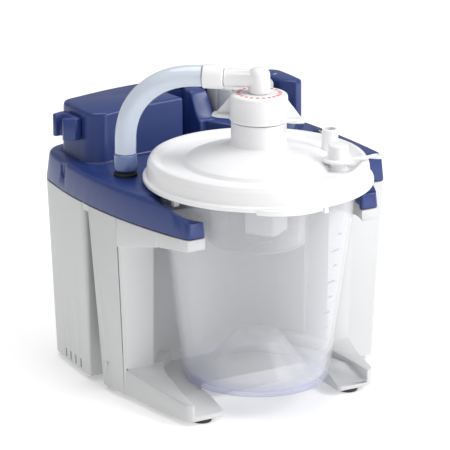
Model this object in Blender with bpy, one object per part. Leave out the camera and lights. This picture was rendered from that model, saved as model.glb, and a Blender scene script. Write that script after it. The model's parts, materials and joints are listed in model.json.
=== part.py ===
"""Portable suction pump with a lift-out collection canister, as separate named sub-parts.

Millimetres are used throughout and turned into metres when a mesh is made.
Design coordinates: X right, Y back, Z up, measured from the canister's axis on the ground.
The whole design is then shifted by AXIS_X and AXIS_Y, so that the world origin is the middle
of the pump's footprint on the ground.
"""

import math

import bmesh
import bpy
from mathutils import Matrix, Vector

MM = 0.001
GAP = 0.3

# canister axis in the world
AXIS_X = -9.57
AXIS_Y = -37.41

# heights above the ground
PAD_H = 3.0
CASE_TOP = 116.35
COVER_LOW = CASE_TOP + GAP
DECK_Z = 134.5
FLOOR_Z = 149.0
ROOF_Z = 166.0
BASE_Z = 13.0

# case plan
MID_X = 9.6
LEFT_X = -83.2
RIGHT_X = 102.4
BACK_Y = 146.0
SIDE_BOW = 0.00165
BACK_BOW = 0.0022
DRAFT = 5.5
WALL = 2.5
BAY_R = 62.4
CASE_FRONT = 67.0
LEFT_PANEL_Y = 29.0
RIGHT_PANEL_Y = 14.7
ARM_TIP_Y = -30.5

# canister
CAN_BASE_R = 44.9
CAN_TOP_Z = 138.0
CAN_DRAFT = 0.13
CAN_WALL = 2.0
FLANGE_R = 69.0
RIM_Z = 150.7
CAP_Z = 173.0
CAP_TOP = 189.6
CAP_R = 17.5

# float cage, which stands beside the canister's axis
CAGE_X, CAGE_Y = 4.3, -2.6

# tube and its two ends
NIPPLE_AWAY = 80.5
NIPPLE_TURN = math.radians(140)
BARREL_Z = 198.3
TUBE_R = 6.5

# ports on the lid: x, y, foot and top of each
PORT_CAPPED = (33.0, -36.0, 146.4, 151.6)
PORT_OPEN = (46.0, -7.0, 146.4, 163.0)

# control knob and its niche
KNOB_X, KNOB_Y, KNOB_R = 47.5, 99.0, 20.8
NICHE_X, NICHE_Y, NICHE_R = 48.0, 97.2, 26.5

# small parts in plan
PAD_SPOTS = ((-52, -23), (52, -23), (-55, 103), (73, 103))
SCREW_SPOTS = ((-66, 80), (86, 80), (-64, 114), (82, 113))
LAMP_X = 87.0
LAMP_ROWS = (28, 34, 40)
INLET_X, INLET_Z = 14.0, 46.0

# where the gauge's needle points with no vacuum, turned from +X
NEEDLE_REST = math.radians(225)

COLOURS = {
    "navy": ((0.035, 0.065, 0.20), 0.28, 0.0),
    "white": ((0.80, 0.81, 0.80), 0.45, 0.0),
    "lid_white": ((0.88, 0.88, 0.88), 0.4, 0.0),
    "clear": ((0.85, 0.86, 0.93), 0.08, 0.0),
    "tube": ((0.75, 0.83, 0.90), 0.3, 0.0),
    "grey": ((0.55, 0.56, 0.58), 0.4, 0.0),
    "black": ((0.02, 0.02, 0.025), 0.5, 0.0),
    "rubber": ((0.05, 0.05, 0.05), 0.85, 0.0),
    "steel": ((0.60, 0.60, 0.61), 0.3, 1.0),
    "aluminium": ((0.65, 0.66, 0.67), 0.4, 1.0),
    "board": ((0.03, 0.22, 0.09), 0.5, 0.0),
    "battery": ((0.06, 0.09, 0.13), 0.6, 0.0),
    "dial": ((0.90, 0.90, 0.88), 0.5, 0.0),
    "red": ((0.55, 0.03, 0.03), 0.4, 0.0),
    "foam": ((0.78, 0.80, 0.82), 0.95, 0.0),
}


# ------------------------------------------------------------------ tools

def material(name):
    found = bpy.data.materials.get(name)
    if found:
        return found
    colour, rough, metal = COLOURS[name]
    made = bpy.data.materials.new(name)
    made.use_nodes = True
    shader = made.node_tree.nodes["Principled BSDF"]
    shader.inputs["Base Color"].default_value = (*colour, 1.0)
    shader.inputs["Roughness"].default_value = rough
    shader.inputs["Metallic"].default_value = metal
    return made


def world(at):
    """A design point in millimetres as a world point in metres."""
    return Vector((at[0] + AXIS_X, at[1] + AXIS_Y, at[2])) * MM


def finish(name, mesh, colour, at, guide, smooth):
    """Links a mesh whose points are in design millimetres, with its origin put at `at`."""
    obj = bpy.data.objects.new(name, mesh)
    bpy.context.scene.collection.objects.link(obj)
    mesh.transform(Matrix.Scale(MM, 4) @ Matrix.Translation(-Vector(at)))
    obj.location = world(at)
    mesh.materials.append(material(colour))
    if smooth:
        mesh.shade_smooth()
        mesh.set_sharp_from_angle(angle=math.radians(35))
    if guide:
        obj.hide_render = True
        obj.display_type = "WIRE"
    return obj


def warp(face):
    """How far a face's corners stray from its own plane."""
    middle = face.calc_center_median()
    return max(abs((corner.co - middle).dot(face.normal)) for corner in face.verts)


def solid(name, points, faces, colour, at=(0, 0, 0), guide=False, smooth=True):
    mesh = bpy.data.meshes.new(name)
    mesh.from_pydata([tuple(p) for p in points], [], faces)
    grid = bmesh.new()
    grid.from_mesh(mesh)
    bmesh.ops.recalc_face_normals(grid, faces=grid.faces)
    grid.normal_update()
    if grid.calc_volume(signed=True) < 0:
        bmesh.ops.reverse_faces(grid, faces=grid.faces)
    bent = [face for face in grid.faces if warp(face) > 0.001]
    bmesh.ops.triangulate(grid, faces=bent)
    grid.to_mesh(mesh)
    grid.free()
    return finish(name, mesh, colour, at, guide, smooth)


def loft(name, rings, colour, ring_shaped=False, **extra):
    """A body through rings of equally many points: capped, or closed back on its first ring."""
    count = len(rings[0])
    points = [p for ring in rings for p in ring]
    pairs = [(i, i + 1) for i in range(len(rings) - 1)]
    if ring_shaped:
        pairs.append((len(rings) - 1, 0))
    faces = []
    for low, high in pairs:
        for i in range(count):
            j = (i + 1) % count
            faces.append((low * count + i, low * count + j, high * count + j, high * count + i))
    if not ring_shaped:
        faces.append(tuple(range(count)))
        last = (len(rings) - 1) * count
        faces.append(tuple(range(last, last + count)))
    return solid(name, points, faces, colour, **extra)


def level(loop, z):
    return [(x, y, z) for x, y in loop]


def prism(name, loop, low, high, colour="navy", **extra):
    return loft(name, [level(loop, low), level(loop, high)], colour, **extra)


def block(name, low, high, colour="navy", **extra):
    (x0, y0, z0), (x1, y1, z1) = low, high
    return prism(name, [(x0, y0), (x1, y0), (x1, y1), (x0, y1)], z0, z1, colour, **extra)


def arc(cx, cy, r, start, end, steps):
    """Points along an arc, with angles in degrees."""
    angles = [math.radians(start + (end - start) * i / steps) for i in range(steps + 1)]
    return [(cx + r * math.cos(a), cy + r * math.sin(a)) for a in angles]


def circle(cx, cy, r, steps=32):
    return arc(cx, cy, r, 0, 360, steps)[:-1]


def turned(name, profile, colour, centre=(0, 0), steps=40, **extra):
    """A ring-shaped body turned about a vertical line from a closed (radius, z) outline."""
    rings = [level(circle(*centre, r, steps), z) for r, z in profile]
    return loft(name, rings, colour, ring_shaped=True, **extra)


def capped(name, profile, colour, centre=(0, 0), steps=40, **extra):
    """A body turned about a vertical line from an open (radius, z) outline, closed by end discs."""
    rings = [level(circle(*centre, r, steps), z) for r, z in profile]
    return loft(name, rings, colour, **extra)


def rounded(corners, steps=3):
    """A polygon from (x, y) points and (x, y, radius) corners that are rounded by an arc."""
    loop = []
    for i, corner in enumerate(corners):
        here = Vector(corner[:2])
        if len(corner) == 2:
            loop.append(tuple(here))
            continue
        back = (Vector(corners[i - 1][:2]) - here).normalized()
        on = (Vector(corners[(i + 1) % len(corners)][:2]) - here).normalized()
        half = back.angle(on) / 2
        reach = corner[2] / math.tan(half)
        middle = here + (back + on).normalized() * (corner[2] / math.sin(half))
        first = here + back * reach - middle
        last = here + on * reach - middle
        turn = first.angle_signed(last)
        for k in range(steps + 1):
            a = -turn * k / steps
            spun = Vector((first.x * math.cos(a) - first.y * math.sin(a),
                           first.x * math.sin(a) + first.y * math.cos(a)))
            loop.append(tuple(middle + spun))
    return loop


def inset(corners, by):
    """Counter-clockwise corners moved inwards, as many as before, with their radii shrunk to suit."""
    moved = []
    for i, corner in enumerate(corners):
        here = Vector(corner[:2])
        a = (here - Vector(corners[i - 1][:2])).normalized()
        b = (Vector(corners[(i + 1) % len(corners)][:2]) - here).normalized()
        normal = Vector((-a.y - b.y, a.x + b.x)).normalized()
        stretch = max(0.5, normal.dot(Vector((-a.y, a.x))))
        spot = here + normal * (by / stretch)
        radius = [max(0.4, corner[2] - by)] if len(corner) == 3 else []
        moved.append((*spot, *radius))
    return moved


def boolean(obj, other, how):
    step = obj.modifiers.new(other.name, "BOOLEAN")
    step.operation = how
    step.object = other
    step.solver = "EXACT"


def cut(obj, other):
    boolean(obj, other, "DIFFERENCE")


def join(obj, other):
    boolean(obj, other, "UNION")


def along(name, profile, colour, start, direction, steps=24, **extra):
    """A capped body turned about a line: the profile holds (radius, distance from start)."""
    spin = Vector(direction).normalized().to_track_quat("Z", "Y").to_matrix()
    rings = []
    for r, s in profile:
        rings.append([spin @ Vector((x, y, s)) + Vector(start) for x, y in circle(0, 0, r, steps)])
    return loft(name, rings, colour, **extra)


def ring_along(name, profile, colour, start, direction, steps=24, **extra):
    """A ring-shaped body turned about a line from a closed (radius, distance) outline."""
    spin = Vector(direction).normalized().to_track_quat("Z", "Y").to_matrix()
    rings = []
    for r, s in profile:
        rings.append([spin @ Vector((x, y, s)) + Vector(start) for x, y in circle(0, 0, r, steps)])
    return loft(name, rings, colour, ring_shaped=True, **extra)


# ------------------------------------------------------------------ plan curves

def left_side(y):
    return LEFT_X + SIDE_BOW * (y - 70) ** 2


def right_side(y):
    return RIGHT_X - 0.001 * (y - 45) ** 2


def back_edge(x, back=BACK_Y):
    return back - BACK_BOW * (x - MID_X) ** 2


def spread(start, end, count):
    return [start + (end - start) * i / (count - 1) for i in range(count)]


def rear_run():
    """The right side, the back and the left side, counter-clockwise, from the front of the case."""
    run = [(right_side(y), y) for y in spread(80, 110, 3)]
    run.append((right_side(128), back_edge(right_side(128)) + 1, 20))
    run += [(x, back_edge(x)) for x in spread(66, -47, 7)]
    run.append((left_side(128), back_edge(left_side(128)) + 1, 20))
    run += [(left_side(y), y) for y in spread(110, 80, 3)]
    return run


def case_corners(front=CASE_FRONT):
    return [(left_side(front), front, 4), (right_side(front), front, 4)] + rear_run()


def arm_outer(side, y):
    return side * -left_side(y)


def cover_corners():
    tip = math.degrees(math.asin(-ARM_TIP_Y / BAY_R))
    near = BAY_R * math.cos(math.radians(tip)) - 1.8
    loop = [(near, ARM_TIP_Y, 2), (66.3, ARM_TIP_Y, 3.5)]
    loop += [(arm_outer(1, y), y) for y in (-20, -10, 2)]
    loop += [(arm_outer(1, RIGHT_PANEL_Y), RIGHT_PANEL_Y), (right_side(RIGHT_PANEL_Y), RIGHT_PANEL_Y, 2)]
    loop += [(right_side(y), y) for y in (35, 57)]
    loop += rear_run()
    loop += [(left_side(y), y) for y in spread(65, -20, 7)]
    loop += [(-66.3, ARM_TIP_Y, 3.5), (-near, ARM_TIP_Y, 2)]
    loop += arc(0, 0, BAY_R, 180 + tip - 9, -tip + 9, 30)
    return loop


def deck_corners():
    """The part of the cover that is hollow below: all but the two arms."""
    left, right = math.degrees(math.asin(12 / BAY_R)), math.degrees(math.asin(RIGHT_PANEL_Y / BAY_R))
    loop = [(BAY_R * math.cos(math.radians(right)), RIGHT_PANEL_Y)]
    loop += [(right_side(y), y) for y in (RIGHT_PANEL_Y, 35, 57)]
    loop += rear_run()
    loop += [(left_side(y), y) for y in (65, 40, 12)]
    loop.append((-BAY_R * math.cos(math.radians(left)), 12))
    loop += arc(0, 0, BAY_R, 180 - left - 5, right + 5, 24)
    return loop


def arm_carve(side, stations=7):
    """What is cut off an arm's top: it falls towards the tip, and towards the canister."""
    rings = []
    for y in spread(14, ARM_TIP_Y - 8, stations):
        outer = DECK_Z - 9.0 * (max(0.0, 2 - y) / 33) ** 1.6
        inner = min(outer, DECK_Z - 8.5 * min(1.0, max(0.0, (12 - y) / 16)))
        far, near = arm_outer(1, max(y, -25)) - 2, math.sqrt(max(48.0 ** 2, BAY_R ** 2 - y * y)) + 1
        line = [(far + 12, outer), (far, outer), (near, inner), (near - 14, inner)]
        rings.append([(side * x, y, z + 0.02) for x, z in line]
                     + [(side * (near - 14), y, 170), (side * (far + 12), y, 170)])
    return loft(f"arm_carve_{side}", rings, "navy", guide=True)


# ------------------------------------------------------------------ casings

def make_rear_case():
    top, foot = case_corners(), case_corners(CASE_FRONT - DRAFT + 1)
    rings = [level(rounded(inset(plan, by)), z) for plan, by, z in
             ((foot, DRAFT, PAD_H), (top, 0, CASE_TOP), (top, WALL, CASE_TOP), (foot, DRAFT + WALL, PAD_H))]
    case = loft("rear_case", rings, "white", ring_shaped=True)
    for i in range(4):
        y = 79.5 + 7.3 * i
        cut(case, block(f"vent_cut_{i}", (-90, y, PAD_H + 2.6), (-60, y + 2, PAD_H + 8), guide=True))
    cut(case, along("inlet_cut", [(5.4, 0), (5.4, 30)], "white", (INLET_X, 130, INLET_Z), (0, 1, 0),
                    guide=True))
    cut(case, block("hose_notch", (-77, 60, 106), (-57, 75, 120), guide=True))
    for i in range(5):
        x = -40 + 7.0 * i
        cut(case, block(f"exhaust_cut_{i}", (x, 125, 70), (x + 2.6, 160, 96), guide=True))
    return case


def cradle_ring(t, lift):
    """The cradle's wall in plan at a height: t runs from 0 at the ground to 1 at the top."""
    shrink = DRAFT * (1 - t)
    end = 52.5 + 8.5 * t
    outer = [(left_side(end) + shrink, end)]
    outer += [(left_side(LEFT_PANEL_Y + 6) + shrink, LEFT_PANEL_Y + 6)]
    outer += [(left_side(LEFT_PANEL_Y) + shrink, LEFT_PANEL_Y, 3)]
    angle = math.degrees(math.asin(LEFT_PANEL_Y / BAY_R))
    right = math.degrees(math.asin(RIGHT_PANEL_Y / BAY_R))
    outer += arc(0, 0, BAY_R, 180 - angle, right, 24)
    outer += [(right_side(RIGHT_PANEL_Y) - shrink, RIGHT_PANEL_Y, 3)]
    outer += [(right_side(RIGHT_PANEL_Y + 8) - shrink, RIGHT_PANEL_Y + 8)]
    outer += [(right_side(end) - shrink, end)]
    line = rounded([(-200, 200)] + outer + [(200, 200)])[1:-1]
    inner = inset([(-200, line[0][1])] + line + [(200, line[-1][1])], WALL)[1:-1]
    inner[0] = (inner[0][0], line[0][1])
    inner[-1] = (inner[-1][0], line[-1][1])
    return level(line + inner[::-1], lift)


def seat_loop():
    """The foot plate: two feet joined behind an open notch."""
    outer = [(66.0, ARM_TIP_Y, 6), (70.5, -5), (76.5, 13), (78, 46), (-78, 46)]
    outer += [(-74, 28), (-71.5, 5), (-68.5, -12), (-65.5, ARM_TIP_Y, 6)]
    notch = [(-40, ARM_TIP_Y, 3), (-42, -8), (-42, 2, 10), (42, 2, 10), (42, -8), (40, ARM_TIP_Y, 3)]
    return rounded(outer + notch)


def foot_wedge(name, half, rear, front):
    """All that lies above a slope that runs from one (y, z) point to another."""
    side = [rear, front, (front[0], 60), (rear[0], 60)]
    rings = [[(x, y, z) for y, z in side] for x in (-half, half)]
    return loft(name, rings, "white", guide=True)


def make_cradle():
    cradle = loft("front_cradle", [cradle_ring(0, PAD_H), cradle_ring(1, CASE_TOP)], "white")
    seat = prism("seat_guide", seat_loop(), PAD_H, 19.5, "white", guide=True)
    cut(seat, capped("seat_recess", [(56, BASE_Z - GAP), (57, 30)], "white", guide=True))
    trough = [(-56, 5), (-58.5, -8), (-62.2, -40), (62.2, -40), (58.5, -8), (56, 5)]
    cut(seat, prism("foot_trough", trough, BASE_Z - GAP, 30, "white", guide=True))
    cut(seat, foot_wedge("foot_slope", 80, (30, 19.4), (-60, 10.4)))
    ledge = foot_wedge("ledge_slope", 80, (-12, BASE_Z - GAP), (-60, -4.7))
    boolean(ledge, prism("ledge_plan", trough, -20, 60, "white", guide=True), "INTERSECT")
    cut(seat, ledge)
    rear_half = [(-67, -12), (-46, -12), (-46, 6), (46, 6), (46, -12), (68, -12), (74, 44), (-72, 44)]
    cut(seat, prism("seat_hollow", inset(rear_half, WALL), 1, 9.7, "white", guide=True))
    join(cradle, seat)
    for side, start in ((-1, LEFT_PANEL_Y + 1), (1, RIGHT_PANEL_Y + 1)):
        join(cradle, make_arm_strip(side, start))
        edge = left_side if side < 0 else right_side
        plan = [(edge(58) - side * 0.1, 58), (edge(58) - side * WALL, 58),
                (edge(CASE_FRONT) - side * WALL, CASE_FRONT - GAP), (edge(CASE_FRONT), CASE_FRONT - GAP)]
        join(cradle, prism(f"slot_top_{side}", plan, CASE_TOP - 4, CASE_TOP, "white", guide=True))
    return cradle


def make_arm_strip(side, start):
    """The pale underside of an arm, thicker towards its root."""
    tip = math.asin(-ARM_TIP_Y / BAY_R)
    root = math.asin(start / BAY_R)
    inner = arc(0, 0, BAY_R, math.degrees(-tip), math.degrees(root), 8)
    outer = [(-left_side(y), y) for y in spread(start, -20, 4)] + [(66.3, ARM_TIP_Y)]
    loop = [(side * x, y) for x, y in inner + outer]
    low = [(x, y, 109.4 - 7.0 * max(0.0, (y - ARM_TIP_Y) / 60) ** 1.2) for x, y in loop]
    return loft(f"arm_strip_{side}", [low, level(loop, CASE_TOP)], "white", guide=True)


def raised_corners():
    """The tall part of the cover: the box on the left, the rear rim and the right-hand arm."""
    loop = [(-69.5, 75.5, 11), (-35, 86), (0.5, 88.6), (-2, 108), (3, 116.5), (11.3, 105.2), (10.4, 97.8),
            (19.9, 106.9)]
    loop += arc(NICHE_X, NICHE_Y, NICHE_R, 159, -4, 16)
    loop += [(81.5, 86.5, 1.5), (88.6, 90, 4), (89.2, 105)]
    loop += [(88.8, back_edge(88.8, 134) + 1, 9)]
    loop += [(x, back_edge(x, 134)) for x in spread(70, -50, 7)]
    loop += [(-69.5, back_edge(-69.5, 134) + 1, 9)]
    return loop


def floor_corners():
    """The low platform that the knob stands on."""
    front = math.degrees(math.atan2(72.6, 22.3))
    loop = [(10.8, 99.4)] + arc(0, 0, 76.0, front, 50, 5)
    loop += [(77, 80, 8), (84, 92), (80, 100)]
    loop += arc(NICHE_X, NICHE_Y, NICHE_R + 1, 6, 158, 14)
    loop.append((18.6, 107.4))
    return loop


def make_cover():
    plan = cover_corners()

    rings = [level(rounded(inset(plan, by)), z) for by, z in
             ((0, COVER_LOW), (2.0, DECK_Z - 2), (3.6, DECK_Z))]
    cover = loft("top_cover", rings, "navy")
    cut(cover, prism("deck_hollow", rounded(inset(deck_corners(), 3.4)), COVER_LOW - 5, DECK_Z - WALL,
                     guide=True))
    for side in (-1, 1):
        cut(cover, arm_carve(side))
    tall, low = raised_corners(), floor_corners()
    rise = [level(rounded(inset(tall, by)), z) for by, z in
            ((0, DECK_Z - 1.5), (0.4, ROOF_Z - 2), (1.8, ROOF_Z))]
    join(cover, loft("raised_guide", rise, "navy", guide=True))
    join(cover, prism("floor_guide", rounded(low), DECK_Z - 1.2, FLOOR_Z, guide=True))
    cut(cover, prism("raised_hollow", rounded(inset(tall, WALL + 0.4)), 120, ROOF_Z - WALL, guide=True))
    cut(cover, prism("floor_hollow", rounded(inset(low, WALL)), 121, FLOOR_Z - WALL, guide=True))
    nipple = nipple_point(0)
    cut(cover, capped("nipple_cut", [(4.4, 120), (4.4, 140)], "navy", centre=nipple[:2], guide=True))
    cut(cover, capped("knob_cut", [(6.3, 140), (6.3, 155)], "navy", centre=(KNOB_X, KNOB_Y), guide=True))
    cut(cover, block("rocker_cut", (79.7, 48.7, 120), (91.3, 69.3, 140), guide=True))
    return cover


def make_bottom_plate():
    plan = rounded(inset(case_corners(), DRAFT + WALL + 0.6))
    plate = prism("bottom_plate", plan, PAD_H, PAD_H + 2.4, "white")
    for i, spot in enumerate(SCREW_SPOTS):
        cut(plate, capped(f"screw_hole_{i}", [(1.9, 0), (1.9, 8)], "white", centre=spot, steps=16,
                          guide=True))
    return plate


def make_small_case_parts():
    for i, spot in enumerate(PAD_SPOTS, 1):
        capped(f"rubber_foot_{i}", [(5.4, 0), (6.2, 1.0), (6.2, PAD_H - GAP)], "rubber", centre=spot,
               steps=20)
    for i, spot in enumerate(SCREW_SPOTS, 1):
        capped(f"case_screw_{i}", [(3.1, PAD_H - 1.8), (3.1, PAD_H - GAP), (1.6, PAD_H - GAP), (1.6, 12)],
               "steel", centre=spot, steps=14)
    fingers = rounded([(-70.2 + GAP, 92), (-70.2 + GAP, 112), (-74, 112, 1.5), (-80.5, 109.5, 1.5),
                       (-80.5, 106.4, 1.2), (-77.2, 106.4, 1), (-74.8, 105.6, 1), (-73.2, 102, 1),
                       (-74.8, 98.4, 1), (-77.2, 97.6, 1), (-80.5, 97.6, 1.2), (-80.5, 94.5, 1.5),
                       (-74, 92, 1.5)], steps=2)
    prism("tube_clip", fingers, 147.6, 161.5, "navy")
    x, y = nipple_point(0)[:2]
    stem = [(3.0, 124), (4.1, 124), (4.1, DECK_Z + GAP), (7.2, DECK_Z + GAP), (7.2, DECK_Z + 1.6),
            (5.6, DECK_Z + 3.2), (4.3, DECK_Z + 3.2), (4.3, 144), (3.8, 148.1), (3.0, 148.1)]
    turned("deck_nipple", stem, "black", centre=(x, y), steps=20)
    for i, y in enumerate(LAMP_ROWS, 1):
        capped(f"status_lamp_{i}", [(1.7, DECK_Z + GAP), (1.7, DECK_Z + 0.7), (1.0, DECK_Z + 1.1)], "red",
               centre=(LAMP_X, y), steps=12)
    ring_along("power_inlet", [(3.4, 0), (5.0, 0), (5.0, 11.3), (7.6, 11.3), (7.6, 13.3), (3.4, 13.3)],
               "black", (INLET_X, 132, INLET_Z), (0, 1, 0))


# ------------------------------------------------------------------ controls

def make_controls():
    at = (KNOB_X, KNOB_Y, FLOOR_Z)
    centre = (KNOB_X, KNOB_Y)
    skirt = FLOOR_Z + 0.6
    outline = [(16.4, skirt), (KNOB_R - 0.8, skirt), (KNOB_R, skirt + 1.5), (KNOB_R, 166.5),
               (KNOB_R - 1.8, 168.5), (17.6, 168.5), (16.4, 167)]
    knob = turned("regulator_knob", outline, "grey", centre=centre, at=at, steps=36)
    for i in range(12):
        a = math.radians(30 * i + 15)
        spot = (KNOB_X + (KNOB_R + 0.4) * math.cos(a), KNOB_Y + (KNOB_R + 0.4) * math.sin(a))
        cut(knob, capped(f"grip_cut_{i}", [(1.3, skirt + 3), (1.3, 164)], "grey", centre=spot,
                         steps=6, guide=True))
    turned("gauge_case", [(5.2, 128), (6.0, 128), (6.0, FLOOR_Z + 1), (16.0, FLOOR_Z + 1),
                          (16.0, 167.4), (14.4, 167.4), (14.4, FLOOR_Z + 3), (5.2, FLOOR_Z + 3)],
           "black", centre=centre, steps=28)
    turned("gauge_dial", [(1.0, 162), (13.9, 162), (13.9, 162.8), (1.0, 162.8)], "dial",
           centre=centre, steps=28)
    cos, sin = math.cos(NEEDLE_REST), math.sin(NEEDLE_REST)
    hand = [(KNOB_X + along_hand * cos - across * sin, KNOB_Y + along_hand * sin + across * cos)
            for along_hand, across in ((-4, 1.6), (-4, -1.6), (11.5, -0.5), (11.5, 0.5))]
    needle = prism("gauge_needle", hand, 163.4, 164.0, "red", at=(KNOB_X, KNOB_Y, 163.4))
    join(needle, capped("needle_hub", [(0.7, 158), (0.7, 163.5), (2.0, 163.6), (2.0, 164.4)], "red",
                        centre=centre, steps=16, guide=True))
    capped("gauge_lens", [(13.9, 165.4), (13.9, 167.0), (12.6, 167.4)], "clear", centre=centre, steps=28)
    turned("gauge_movement", [(1.2, FLOOR_Z + 3.4), (9.0, FLOOR_Z + 3.4), (9.0, 161.6), (1.2, 161.6)],
           "steel", centre=centre, steps=20)
    frame = block("rocker_frame", (78.5, 47.5, DECK_Z + GAP), (92.5, 70.5, DECK_Z + 1.6), "black")
    join(frame, block("rocker_body", (80, 49, 118), (91, 69, DECK_Z + 1), "black", guide=True))
    cut(frame, block("rocker_well", (81.2, 50.0, 124), (89.8, 68.4, 140), "black", guide=True))
    make_rocker()


def make_rocker():
    """A rocker whose two faces meet in a shallow valley, on a pin across the switch."""
    pivot_y, pivot_z = 59.0, 132.0
    side = [(51.0, 135.6), (59.0, 136.4), (67.0, 138.6), (66.6, 133.5), (61.5, 129.5), (56.5, 129.5),
            (51.2, 131.5)]
    rings = [[(x, y, z) for y, z in side] for x in (81.6, 89.4)]
    loft("power_rocker", rings, "black", at=(85.5, pivot_y, pivot_z), smooth=False)


# ------------------------------------------------------------------ canister

def can_r(z):
    return 44.0 + CAN_DRAFT * (z - BASE_Z)


def make_container():
    outline = [(14.4, 37.0), (29.5, 15.6), (CAN_BASE_R - 5, 13.0), (CAN_BASE_R - 1.2, 13.6),
               (CAN_BASE_R, 16.5), (can_r(60), 60), (can_r(CAN_TOP_Z), CAN_TOP_Z),
               (65.0, CAN_TOP_Z), (65.0, CAN_TOP_Z + 1.8), (58.6, CAN_TOP_Z + 1.8)]
    inside = [(can_r(60) - CAN_WALL, 60), (CAN_BASE_R - CAN_WALL, 19), (CAN_BASE_R - 4, 15.6),
              (31.5, 17.6), (15.4, 39.0)]
    capped("container", outline + inside, "clear", steps=32)


def make_lid():
    outline = [(16.6, CAP_Z - GAP), (16.6, 160), (19, 158.0), (30, 155.0), (44, 150.2), (50, 147.6),
               (59, 147.8), (62.2, RIM_Z), (64.6, 150.2), (66, 147.5), (66.8, 141.8), (FLANGE_R, 139),
               (FLANGE_R, 136.5), (65.6, 136.5), (65.6, 141.9), (56.6, 141.9), (56.6, 133), (55.0, 133),
               (55.0, 144.8), (50, 145.0), (44, 147.8), (30, 152.4), (14.4, 157.5), (14.4, CAP_Z - GAP)]
    lid = turned("lid", outline, "lid_white", steps=32)
    tab = [(x, y) for x, y in arc(0, 0, FLANGE_R + 2.2, -105.6 - 17, -105.6 + 17, 10)]
    tab += [(x, y) for x, y in arc(0, 0, FLANGE_R - 2.4, -105.6 + 17, -105.6 - 17, 10)]
    join(lid, prism("lift_tab", tab, 135.0, 138.4, "lid_white", guide=True))
    for i, (x, y, low, high) in enumerate((PORT_CAPPED, PORT_OPEN)):
        join(lid, capped(f"port_{i}", [(5.2, low), (4.9, high)], "lid_white", centre=(x, y), steps=20,
                         guide=True))
        cut(lid, capped(f"port_bore_{i}", [(3.3, 135), (3.3, high + 5)], "lid_white", centre=(x, y),
                        steps=16, guide=True))
    return lid


def make_canister_parts():
    make_container()
    make_lid()
    turned("lid_gasket", [(58.8, 140.2), (64.8, 140.2), (64.8, 141.5), (58.8, 141.5)], "foam", steps=32)
    turned("splash_guard", [(9.0, 98.0), (28.4, 98.0), (29.4, 99.2), (29.4, 149.5), (27.8, 149.5),
                            (27.8, 99.8), (9.0, 99.8)], "clear", steps=28)
    make_float_cage()
    float_cup = [(5.6, 106.5), (7.6, 108), (7.6, 118), (6.6, 119)]
    capped("float", float_cup, "lid_white", centre=(CAGE_X, CAGE_Y), steps=20, at=(CAGE_X, CAGE_Y, 106.5))
    facing = (math.cos(math.radians(20)), math.sin(math.radians(20)))
    plate = [(37 + facing[1] * u + facing[0] * w, 14 - facing[0] * u + facing[1] * w)
             for u, w in ((-7, 0), (7, 0), (7, 1.6), (-7, 1.6))]
    prism("baffle_plate", plate, 104, 147.9, "clear")


def make_float_cage():
    """A square tower with a round bore for the float and a window in each of two faces."""
    turn = Matrix.Rotation(math.radians(-58), 2)

    def square(half, low, high, name):
        corners = [(-half, -half), (half, -half), (half, half), (-half, half)]
        spots = [turn @ Vector(c) for c in corners]
        return prism(name, [(p.x + CAGE_X, p.y + CAGE_Y) for p in spots], low, high, "lid_white",
                     guide=name != "float_cage")

    cage = square(10, 104, 152, "float_cage")
    centre = (CAGE_X, CAGE_Y)
    cut(cage, capped("float_bore", [(8.6, 106), (8.6, 123)], "lid_white", centre=centre, steps=24, guide=True))
    cut(cage, capped("air_bore", [(5.5, 122), (5.5, 160)], "lid_white", centre=centre, steps=24, guide=True))
    cut(cage, capped("drain_bore", [(4.0, 100), (4.0, 107)], "lid_white", centre=centre, steps=24, guide=True))
    window = [turn @ Vector(c) for c in ((-14, -6.5), (0, -6.5), (0, 6.5), (-14, 6.5))]
    cut(cage, prism("cage_window", [(p.x + CAGE_X, p.y + CAGE_Y) for p in window], 108.5, 120.5, "lid_white",
                    guide=True))


def make_filter():
    skin = [(CAP_R - 3.4, CAP_Z + 0.4), (CAP_R, CAP_Z + 0.4), (CAP_R, CAP_TOP - 2),
            (CAP_R - 2, CAP_TOP), (3.9, CAP_TOP), (3.9, CAP_TOP - 1.8), (CAP_R - 3.4, CAP_TOP - 1.8)]
    cap = turned("filter_cap", skin, "lid_white", steps=32, at=(0, 0, CAP_Z))
    turn = math.radians(-46)
    for side in (-1, 1):
        reach = [(15.6, -4.5), (24, -4.5, 2.5), (28.4, -2.4, 1.5), (28.4, 2.4, 1.5), (24, 4.5, 2.5),
                 (15.6, 4.5)]
        wing = [(side * (x * math.cos(turn) - y * math.sin(turn)),
                 side * (x * math.sin(turn) + y * math.cos(turn))) for x, y in rounded(reach, 3)]
        join(cap, prism(f"wing_{side}", wing, CAP_Z + 0.5, CAP_Z + 2.6, "lid_white", guide=True))
        rib = [(side * (x * math.cos(turn) - y * math.sin(turn)),
                side * (x * math.sin(turn) + y * math.cos(turn)))
               for x, y in ((16.4, -0.9), (25, -0.9), (25, 0.9), (16.4, 0.9))]
        near = [(x, y, CAP_Z + 1) for x, y in rib]
        far = [(x, y, CAP_Z + 15 - (11.5 if i in (1, 2) else 0)) for i, (x, y) in enumerate(rib)]
        join(cap, loft(f"rib_{side}", [near, far], "lid_white", guide=True))
    capped("filter_media", [(13.6, 175.5), (13.6, 185.8)], "foam", steps=28)


def nipple_point(z):
    return (NIPPLE_AWAY * math.cos(NIPPLE_TURN), NIPPLE_AWAY * math.sin(NIPPLE_TURN), z)


def tube_point(away, z):
    """A point in the upright plane that holds the canister's axis and the deck nipple."""
    return (away * math.cos(NIPPLE_TURN), away * math.sin(NIPPLE_TURN), z)


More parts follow.
